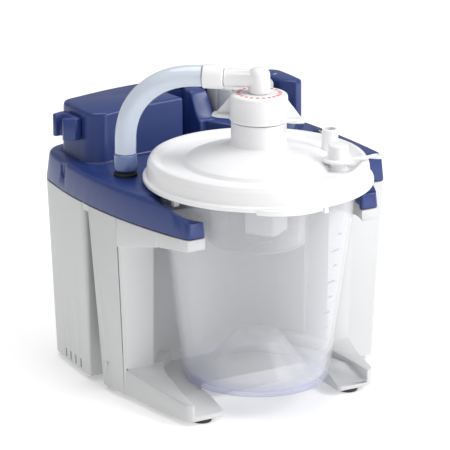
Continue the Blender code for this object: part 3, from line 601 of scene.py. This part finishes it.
def make_cover():
    cover = loft("cover_look", rim_rings(cover_corners(), (
        (0.4, COVER_LOW), (0, COVER_LOW + 0.5), (1.6, DECK_Z - 3.2), (1.9, DECK_Z - 1.9),
        (2.3, DECK_Z - 1.0), (3.0, DECK_Z - 0.3), (4.0, DECK_Z))))
    for side in (-1, 1):
        cut(cover, arm_carve(side))
    join(cover, loft("raised", rim_rings(raised_corners(), (
        (-1.4, DECK_Z - 1), (-1.2, DECK_Z + 0.1), (-0.5, DECK_Z + 0.4), (0, DECK_Z + 1.4),
        (0.4, ROOF_Z - 2.6), (0.7, ROOF_Z - 1.2), (1.3, ROOF_Z - 0.4), (2.4, ROOF_Z)))))
    join(cover, loft("platform", rim_rings(floor_corners(), (
        (0, DECK_Z - 1.2), (0, FLOOR_Z - 0.8), (0.3, FLOOR_Z - 0.2), (0.9, FLOOR_Z)))), make_slide())
    notch = rounded([(99.3, 137), (98.9, 124, 3), (92.7, 124, 3), (92.3, 137)])
    wedge = loft("notch", [[(x, y, z) for y, z in notch] for x in (-86, -79.6)])
    inside = block("rocker_cut", (79.7, 48.7, 110), (91.3, 69.3, 140))
    knob = turned("knob_cut", [(6.3, 140), (6.3, 155)], (KNOB_X, KNOB_Y), 32, ring_shaped=False)
    hollow = prism("cover_hollow", rounded(inset(case_corners(), 7)), COVER_LOW - 5, DECK_Z - WALL)
    cut(cover, wedge, inside, knob, hollow)
    soften(cover, 0.5)
    piece(cover, "top_cover", "navy_shell", smooth=0)
    make_roof_marks()


def make_roof_marks():
    """Raised ticks along the crescent roof round the knob, in place of its scale of words."""
    x0, y0, r = NICHE
    for i in range(9):
        a = math.radians(20 + 12.5 * i)
        inner, outer = r + 4.5, r + (8.5 if i % 4 == 0 else 7.0)
        across = Vector((-math.sin(a), math.cos(a))) * 0.45
        loop = [Vector((x0 + q * math.cos(a), y0 + q * math.sin(a))) + s * across
                for q, s in ((inner, -1), (outer, -1), (outer, 1), (inner, 1))]
        mark = prism(f"roof_tick_{i}", [tuple(p) for p in loop], ROOF_Z - 0.4, ROOF_Z + 0.3)
        piece(mark, "top_cover", "navy_shell", replaces=False, finish=PALE_MARK)


# ------------------------------------------------------------------ white case

def make_rear_case():
    top, foot = case_corners(), case_corners(CASE_FRONT - DRAFT + 1)
    steps = ((foot, DRAFT + 0.5, PAD_H), (foot, DRAFT, PAD_H + 0.8), (top, 0, CASE_TOP - 0.5),
             (top, 0.4, CASE_TOP), (top, WALL, CASE_TOP), (foot, DRAFT + WALL, PAD_H))
    case = loft("case_look", [level(rounded(inset(plan, by)), z) for plan, by, z in steps], ring_shaped=True)
    vents = [block(f"vent_{i}", (-90, 79.5 + 7.3 * i, PAD_H + 2.6), (-60, 81.5 + 7.3 * i, PAD_H + 8))
             for i in range(4)]
    exhaust = [block(f"exhaust_{i}", (-40 + 7.0 * i, 125, 70), (-37.4 + 7.0 * i, 160, 96)) for i in range(5)]
    socket = along("socket_cut", [(5.4, 0), (5.4, 30)], (14, 130, 46), (0, 1, 0), 32)
    cut(case, *vents, *exhaust, socket, block("hose_notch", (-77, 60, 106), (-57, 75, 120)))
    soften(case, 0.35)
    piece(case, "rear_case", "white_shell", smooth=0)


def cradle_ring(t, lift):
    """The cradle's wall in plan at a height: t runs from 0 at the ground to 1 at the top."""
    shrink = DRAFT * (1 - t)
    end = 52.5 + 8.5 * t
    outer = [(left_side(end) + shrink, end)]
    outer += [(left_side(LEFT_PANEL_Y + 6) + shrink, LEFT_PANEL_Y + 6)]
    outer += [(left_side(LEFT_PANEL_Y) + shrink, LEFT_PANEL_Y, 3)]
    angle = math.degrees(math.asin(LEFT_PANEL_Y / BAY_R))
    right = math.degrees(math.asin(RIGHT_PANEL_Y / BAY_R))
    outer += arc(0, 0, BAY_R, 180 - angle, right, 64)
    outer += [(right_side(RIGHT_PANEL_Y) - shrink, RIGHT_PANEL_Y, 3)]
    outer += [(right_side(RIGHT_PANEL_Y + 8) - shrink, RIGHT_PANEL_Y + 8)]
    outer += [(right_side(end) - shrink, end)]
    line = rounded([(-200, 200)] + outer + [(200, 200)])[1:-1]
    inner = inset([(-200, line[0][1])] + line + [(200, line[-1][1])], WALL)[1:-1]
    inner[0] = (inner[0][0], line[0][1])
    inner[-1] = (inner[-1][0], line[-1][1])
    return level(line + inner[::-1], lift)


def foot_wedge(name, half, rear, front):
    """All that lies above a slope that runs from one (y, z) point to another."""
    side = [rear, front, (front[0], 60), (rear[0], 60)]
    return loft(name, [[(x, y, z) for y, z in side] for x in (-half, half)])


def make_foot_seat():
    outer = [(66.0, ARM_TIP_Y, 6), (70.5, -5), (76.5, 13), (78, 46), (-78, 46)]
    outer += [(-74, 28), (-71.5, 5), (-68.5, -12), (-65.5, ARM_TIP_Y, 6)]
    notch = [(-40, ARM_TIP_Y, 3), (-42, -8), (-42, 2, 10), (42, 2, 10), (42, -8), (40, ARM_TIP_Y, 3)]
    seat = prism("seat", rounded(outer + notch), PAD_H, 19.5)
    trough = [(-56, 5), (-58.5, -8), (-62.2, -40), (62.2, -40), (58.5, -8), (56, 5)]
    bowl = turned("seat_recess", [(56, BASE_Z - GAP), (57, 30)], ring_shaped=False)
    ledge = foot_wedge("ledge_slope", 80, (-12, BASE_Z - GAP), (-60, -4.7))
    combine(ledge, prism("ledge_plan", trough, -20, 60), "INTERSECT")
    settle(ledge)
    cut(seat, bowl, prism("foot_trough", trough, BASE_Z - GAP, 30),
        foot_wedge("foot_slope", 80, (30, 19.4), (-60, 10.4)), ledge)
    half = [(-67, -12), (-46, -12), (-46, 6), (46, 6), (46, -12), (68, -12), (74, 44), (-72, 44)]
    return cut(seat, prism("seat_hollow", inset(half, WALL), 1, 9.7))


def make_arm_strip(side, start):
    """The pale underside of an arm, thicker towards its root, with a fillet into the leg."""
    tip = math.asin(-ARM_TIP_Y / BAY_R)
    root = math.asin(start / BAY_R)
    inner = arc(0, 0, BAY_R, math.degrees(-tip), math.degrees(root), 24)
    outer = [(-left_side(start - 0.6 * i), start - 0.6 * i) for i in range(9)]
    outer += [(-left_side(y), y) for y in spread_out(start - 6, -20, 16)] + [(66.3, ARM_TIP_Y)]
    loop = [(side * x, y) for x, y in inner + outer]

    def low(y):
        near_leg = min(1.0, max(0.0, (start - 1 - y) / 4))
        fillet = 4 * (1 - math.sqrt(1 - (1 - near_leg) ** 2))
        return 109.4 - 7.0 * max(0.0, (y - ARM_TIP_Y) / 60) ** 1.2 - fillet

    return loft(f"strip_{side}", [[(x, y, low(y)) for x, y in loop], level(loop, CASE_TOP)])


def make_cradle():
    cradle = loft("cradle_look", [cradle_ring(0, PAD_H), cradle_ring(1, CASE_TOP)])
    join(cradle, make_foot_seat())
    for side, start in ((-1, LEFT_PANEL_Y + 1), (1, RIGHT_PANEL_Y + 1)):
        edge = left_side if side < 0 else right_side
        plan = [(edge(58) - side * 0.3, 58), (edge(58) - side * WALL, 58),
                (edge(CASE_FRONT) - side * WALL, CASE_FRONT - GAP),
                (edge(CASE_FRONT) - side * 0.3, CASE_FRONT - GAP)]
        piece(prism(f"slot_top_{side}", plan, CASE_TOP - 4, CASE_TOP - 0.1), "front_cradle", "white_shell",
              replaces=False)
        join(cradle, make_arm_strip(side, start))
    soften(cradle, 0.6)
    piece(cradle, "front_cradle", "white_shell", smooth=0)


def make_clip():
    x = design("tube_clip", 1).x
    fingers = rounded([(x, 92), (x, 112), (-74, 112, 1.5), (-80.5, 109.5, 1.5), (-80.5, 106.4, 1.2),
                       (-77.2, 106.4, 1), (-74.8, 105.6, 1), (-73.2, 102, 1), (-74.8, 98.4, 1),
                       (-77.2, 97.6, 1), (-80.5, 97.6, 1.2), (-80.5, 94.5, 1.5), (-74, 92, 1.5)], 6)
    clip = soften(prism("clip_look", fingers, 147.6, 161.5), 0.7)
    piece(clip, "tube_clip", "navy_shell", smooth=0)


def make_feet():
    for i in range(1, 5):
        node = f"rubber_foot_{i}"
        spot = (middle_of(node) - AXIS) / MM
        foot = turned(f"foot_look_{i}", [(0.2, 0), (5.6, 0, 0.5), (6.2, 1.2, 0.4), (6.2, PAD_H - GAP),
                                         (0.2, PAD_H - GAP)], (spot.x, spot.y), 48, ring_shaped=False)
        piece(foot, node, "black_rubber")


# ------------------------------------------------------------------ canister

def can_r(z):
    return 44.0 + 0.13 * (z - BASE_Z)


def make_container():
    outline = [(0.2, 37.0), (14.0, 37.0, 1.2), (29.5, 15.6, 2.5), (39.9, 13.0, 2), (43.9, 13.6, 1.2),
               (44.9, 16.5, 2), (can_r(60), 60), (can_r(CAN_TOP_Z), CAN_TOP_Z, 0.6), (65.0, CAN_TOP_Z, 0.6),
               (65.0, CAN_TOP_Z + 1.8, 0.6), (58.6, CAN_TOP_Z + 1.8, 0.6), (can_r(60) - 2, 60),
               (42.9, 19, 3), (40.9, 15.6, 1.0), (31.5, 17.6, 2.5), (15.2, 39.0, 1.2), (0.2, 39.0)]
    container = turned("container_look", outline, steps=128, ring_shaped=False)
    piece(container, "container", "clear_plastic")
    ring = turned("cone_ring", [(6.0, 39.0), (6.4, 39.5), (7.4, 39.5), (7.8, 39.0)], steps=64)
    piece(ring, "container", "clear_plastic", replaces=False)
    for i in range(9):
        z = 32 + 10.0 * i
        wide = 7.0 if i % 2 else 4.0
        a = math.radians(-62)
        span = math.degrees(wide / can_r(z))
        loop = arc(0, 0, can_r(z) + 0.05, math.degrees(a) - span, math.degrees(a), 6)
        loop += arc(0, 0, can_r(z) + 0.22, math.degrees(a), math.degrees(a) - span, 6)
        tick = prism(f"level_tick_{i}", loop, z, z + 0.5)
        piece(tick, "container", "clear_plastic", replaces=False, finish=PALE_MARK)


def make_lid():
    top = CAP_Z - GAP
    outline = [(16.6, top, 0.5), (16.6, 160), (17.2, 158.6, 0.8), (20, 157.4, 3), (30, 154.6, 12),
               (38, 152.2, 8), (43.4, 149.6, 1.8), (45.2, 147.0, 1.2), (58.2, 147.4, 2.5), (62.0, 150.7, 1.2),
               (64.4, 150.5, 1.6), (66.2, 147.2, 3), (67.0, 139.8, 0.7), (69, 139.0, 0.6), (69, 136.5, 0.6),
               (65.6, 136.5, 0.4), (65.6, 141.9), (56.6, 141.9), (56.6, 133, 0.4), (55.0, 133, 0.4),
               (55.0, 144.8), (46, 144.6), (42, 147.0), (30, 152.0), (14.4, 157.5), (14.4, top, 0.5)]
    lid = turned("lid_look", outline, steps=128)
    bulge = [(68.9 + 3.4 * math.sin(math.pi * i / 28) ** 0.8, math.radians(-122.6 + 34 * i / 28))
             for i in range(29)]
    tab = [(r * math.cos(a), r * math.sin(a)) for r, a in bulge] + arc(0, 0, 66.6, -88.6, -122.6, 28)
    tab = soften(prism("lift_tab", tab, 135.0, 138.4), 0.6)
    parts = [tab]
    for i, (x, y, low, high) in enumerate((PORT_CAPPED, PORT_OPEN)):
        parts.append(turned(f"port_{i}", [(0.2, low - 2), (6.4, low - 2), (6.2, low + 1.5, 1.2),
                                          (5.1, low + 2.4, 1.0),
                                          (4.9, high, 0.5), (0.2, high)], (x, y), 48, ring_shaped=False))
    for i in range(4):
        a = math.radians(7 + 90 * i)
        out, across = spoke(a)
        loop = [tuple(out * q + across * s) for q, s in ((60.2, -1.5), (64, -1.5), (64, 1.5), (60.2, 1.5))]
        parts.append(soften(prism(f"lug_{i}", loop, 131, 137.5), 0.4))
    join(lid, *parts)
    bores = [turned(f"bore_{i}", [(3.3, 135), (3.3, high + 5)], (x, y), 40, ring_shaped=False)
             for i, (x, y, low, high) in enumerate((PORT_CAPPED, PORT_OPEN))]
    cut(lid, *bores)
    piece(lid, "lid", "lid_plastic")


def make_under_lid():
    gasket = turned("gasket_look", [(58.8, 140.2), (64.8, 140.2), (64.8, 141.5), (58.8, 141.5)])
    piece(gasket, "lid_gasket", "foam")
    guard = turned("guard_look", [(9.0, 98.0, 0.6), (28.4, 98.0, 1.0), (29.4, 99.4, 0.6), (29.4, 149.5),
                                  (27.8, 149.5), (27.8, 100.0, 0.8), (9.0, 99.8, 0.6)])
    ribs = []
    for i in range(8):
        a = math.radians(22 + 45 * i)
        out, across = spoke(a)
        loop = [tuple(out * q + across * s) for q, s in ((28.6, -0.8), (30.2, -0.8), (30.2, 0.8), (28.6, 0.8))]
        ribs.append(prism(f"guard_rib_{i}", loop, 99.5, 146))
    join(guard, *ribs)
    piece(guard, "splash_guard", "clear_plastic")
    make_float_cage()
    facing = (math.cos(math.radians(20)), math.sin(math.radians(20)))
    plate = [(37 + facing[1] * u + facing[0] * w, 14 - facing[0] * u + facing[1] * w)
             for u, w in ((-7, 0), (7, 0), (7, 1.6), (-7, 1.6))]
    piece(soften(prism("baffle_look", plate, 104, 147.9), 0.4), "baffle_plate", "clear_plastic")


def make_float_cage():
    """A square tower with a round bore for the float and a window in one face, and the float in it."""
    centre = tuple(((middle_of("float") - AXIS) / MM).to_2d())
    turn = Matrix.Rotation(math.radians(-58), 2)

    def turned_about(corners):
        spots = [turn @ Vector(c) for c in corners]
        return [(p.x + centre[0], p.y + centre[1]) for p in spots]

    square = rounded([(-10, -10, 2), (10, -10, 2), (10, 10, 2), (-10, 10, 2)])
    cage = prism("cage_look", turned_about(square), 104, 152)
    bores = [turned(f"cage_bore_{i}", [(r, low), (r, high)], centre, 48, ring_shaped=False)
             for i, (r, low, high) in enumerate(((8.6, 106, 123), (5.5, 122, 160), (4.0, 100, 107)))]
    window = rounded([(-14, -6.5), (0, -6.5), (0, 6.5), (-14, 6.5)])
    cut(cage, *bores, prism("cage_window", turned_about(window), 108.5, 120.5))
    piece(soften(cage, 0.4, angle=50), "float_cage", "lid_plastic")
    cup = turned("float_look", [(0.2, 106.5), (5.6, 106.5, 0.8), (7.6, 108.5, 1.0), (7.6, 118, 0.8),
                                (6.6, 119, 0.4), (0.2, 119)], centre, steps=64, ring_shaped=False)
    piece(cup, "float", "lid_plastic")


def make_filter():
    skin = [(14.1, CAP_Z + 0.4), (17.5, CAP_Z + 0.4, 0.5), (17.5, CAP_Z + 2.2), (17.15, CAP_Z + 2.4),
            (17.15, CAP_TOP - 3, 1), (16.9, CAP_TOP - 0.6, 1.6), (14.5, CAP_TOP, 1.0), (3.9, CAP_TOP),
            (3.9, CAP_TOP - 1.8), (14.1, CAP_TOP - 1.8)]
    cap = turned("cap_look", skin)
    turn = Matrix.Rotation(math.radians(-46), 2)
    for side in (-1, 1):
        reach = rounded([(15.6, -4.5), (24, -4.5, 2.5), (28.4, -2.4, 1.5), (28.4, 2.4, 1.5), (24, 4.5, 2.5),
                         (15.6, 4.5)])
        wing = [tuple(side * (turn @ Vector(p))) for p in reach]
        rib = [side * (turn @ Vector(p)) for p in ((16.2, -0.9), (25.6, -0.9), (25.6, 0.9), (16.2, 0.9))]
        near = [(*p, CAP_Z + 1) for p in rib]
        far = [(*p, CAP_Z + 15 - (11.5 if i in (1, 2) else 0)) for i, p in enumerate(rib)]
        join(cap, soften(prism(f"wing_{side}", wing, CAP_Z + 0.5, CAP_Z + 2.6), 0.5),
             soften(loft(f"rib_{side}", [near, far]), 0.4))
    piece(cap, "filter_cap", "lid_plastic")
    dashes = 22
    for i in range(dashes):
        a = 360 / dashes * i
        loop = arc(0, 0, 13.6, a, a + 360 / dashes * 0.55, 4) + arc(0, 0, 11.4, a + 360 / dashes * 0.55, a, 4)
        dash = prism(f"cap_dash_{i}", loop, CAP_TOP - 0.2, CAP_TOP + 0.06)
        piece(dash, "filter_cap", "lid_plastic", replaces=False, finish=RED_INK)


def make_elbow():
    outward = (math.cos(NIPPLE_TURN), math.sin(NIPPLE_TURN), 0)
    start = (0, 0, BARREL_Z)
    leg = along("elbow_look", [(0.2, -12), (3.5, -12), (3.5, -8.4), (6.4, -8.4, 0.5), (6.4, 6.9, 4.6), (0.2, 6.9)],
                start, (0, 0, 1))
    barrel = along("barrel", [(5.4, 0), (5.5, 20.8, 0.6), (4.2, 20.8), (4.2, 32), (3.8, 33.4)], start, outward)
    join(leg, barrel)
    cut(leg, along("leg_bore", [(2.6, -20), (2.6, 1.5)], start, (0, 0, 1), 32),
        along("barrel_bore", [(2.6, -1.5), (2.6, 40)], start, outward, 32))
    piece(soften(leg, 0.4, angle=50), "elbow", "lid_plastic")
    cuff = along("elbow_cuff_look", [(4.6, 21.2, 0.3), (7.3, 21.2, 0.9), (7.3, 33.7, 0.9), (4.6, 33.7, 0.3)],
                 start, outward, ring_shaped=True)
    piece(cuff, "elbow_cuff", "tube_silicone", finish=FINISH["lid_plastic"])
    low = DECK_Z + 3.6
    sleeve = turned("deck_cuff_look", [(4.7, low, 0.3), (7.5, low, 0.9), (6.9, 148.3, 0.9), (4.7, 148.3, 0.3)],
                    (NIPPLE_X, NIPPLE_Y))
    piece(sleeve, "deck_cuff", "tube_silicone",
          finish=clear("cuff_blue", (0.10, 0.17, 0.42), (0.24, 0.34, 0.62), 0.25, low, 150, 0.75, 1.0))


def make_port_cap():
    x, y, _, high = PORT_CAPPED
    top = high + GAP
    cap = turned("port_cap_look", [(0.2, top), (9.2, top, 0.6), (9.2, top + 1.6, 0.6), (6.5, top + 2.0, 1.0),
                                   (6.0, 162.3, 1.2), (0.2, 162.3)], (x, y), 64, ring_shaped=False)
    path = rounded([(x + 4, y - 2), (52, -41.5), (56, -45.6, 3), (61.5, -44.6, 3), (62.8, -40, 3),
                    (58, -37.2, 3), (52, -38.5), (x + 4, y + 2)], 6)
    join(cap, soften(prism("strap", path, top + 0.2, top + 1.5), 0.3))
    hole = rounded([(53.5, -41), (57.5, -43, 1.2), (60.2, -41.6, 1.2), (57, -39.2, 1.2)], 6)
    cut(cap, prism("loop_hole", hole, 140, 170))
    piece(cap, "port_cap", "lid_plastic")


# ------------------------------------------------------------------ controls

def make_knob():
    skirt = FLOOR_Z + 0.6
    steps = 168
    outline = rounded([(16.4, skirt), (20.0, skirt, 0.4), (20.8, skirt + 1.5), (20.8, 167.2, 1.6), (18.6, 168.5, 0.8),
                       (17.4, 168.5, 0.5), (16.4, 167)], 4)
    rings = []
    for r, z in outline:
        ring = []
        for i in range(steps):
            a = 2 * math.pi * i / steps
            groove = max(0.0, math.cos(12 * (a - math.radians(15)))) ** 14
            shrink = 1.4 * groove if r > 20.5 and z > skirt + 2.5 else 0.0
            ring.append((KNOB_X + (r - shrink) * math.cos(a), KNOB_Y + (r - shrink) * math.sin(a), z))
        rings.append(ring)
    piece(loft("knob_look", rings, ring_shaped=True), "regulator_knob", "grey_plastic")
    mark = block("knob_mark", (KNOB_X - 0.6, KNOB_Y - 20.2, 168.4), (KNOB_X + 0.6, KNOB_Y - 17.6, 168.75))
    piece(mark, "regulator_knob", "grey_plastic", replaces=False, finish=INK)


def make_gauge():
    centre = (KNOB_X, KNOB_Y)
    case = turned("gauge_case_look", [(5.2, 128), (6.0, 128), (6.0, FLOOR_Z + 1), (16.0, FLOOR_Z + 1),
                                      (16.0, 167.4, 0.5), (14.4, 167.4, 0.5), (14.4, FLOOR_Z + 3),
                                      (5.2, FLOOR_Z + 3)], centre)
    piece(case, "gauge_case", "black_plastic")
    dial = turned("gauge_dial_look", [(1.0, 162), (13.9, 162), (13.9, 162.8), (1.0, 162.8)], centre)
    piece(dial, "gauge_dial", "dial_white")
    for i in range(28):
        a = math.radians(225 - 10 * i)
        out, across = spoke(a)
        inner = 10.8 if i % 9 == 0 else 12.0
        loop = [(KNOB_X + p.x, KNOB_Y + p.y) for p in
                (out * inner - across * 0.14, out * 13.2 - across * 0.14, out * 13.2 + across * 0.14,
                 out * inner + across * 0.14)]
        piece(prism(f"dial_tick_{i}", loop, 162.7, 162.88), "gauge_dial", "dial_white", replaces=False, finish=INK)
    for i in range(4):
        a = math.radians(225 - 90 * i)
        words = bpy.data.curves.new(f"dial_number_{i}", "FONT")
        words.body = str(200 * i)
        words.size = 2.6 * MM
        words.align_x = words.align_y = "CENTER"
        words.extrude = 0.05 * MM
        words.materials.append(INK)
        number = link(f"dial_number_{i}", words)
        number.location = AXIS + Vector((KNOB_X + 8.2 * math.cos(a), KNOB_Y + 8.2 * math.sin(a), 162.85)) * MM
        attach(number, frame["nodes"]["gauge_dial"]["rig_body"])
    lens = turned("gauge_lens_look", [(0.2, 165.4), (13.9, 165.4), (13.9, 166.8, 0.4), (0.2, 167.5)], centre,
                  ring_shaped=False)
    piece(lens, "gauge_lens", "clear_plastic")


def make_rocker():
    side = [(51.0, 135.6), (59.0, 136.4), (67.0, 138.6), (66.6, 133.5), (61.5, 129.5), (56.5, 129.5),
            (51.2, 131.5)]
    rocker = loft("rocker_look", [[(x, y, z) for y, z in side] for x in (81.6, 89.4)])
    piece(soften(rocker, 0.5), "power_rocker", "black_plastic", smooth=0)
    bar = block("rocker_bar", (85.2, 63.0, 137.2), (85.8, 66.0, 138.5))
    piece(bar, "power_rocker", "black_plastic", replaces=False, finish=FINISH["dial_white"])


def dress_cad_nodes():
    """Gives each CAD node the finish of its own material slot."""
    for part in frame["record"]["subparts"]:
        mesh = frame["nodes"][part["node"]].data
        mesh.materials.clear()
        mesh.materials.append(FINISH[part["material_slot"]])


dress_cad_nodes()
make_cover()
make_rear_case()
make_cradle()
make_clip()
make_feet()
make_container()
make_lid()
make_under_lid()
make_filter()
make_elbow()
make_port_cap()
make_knob()
make_gauge()
make_rocker()
make_room()
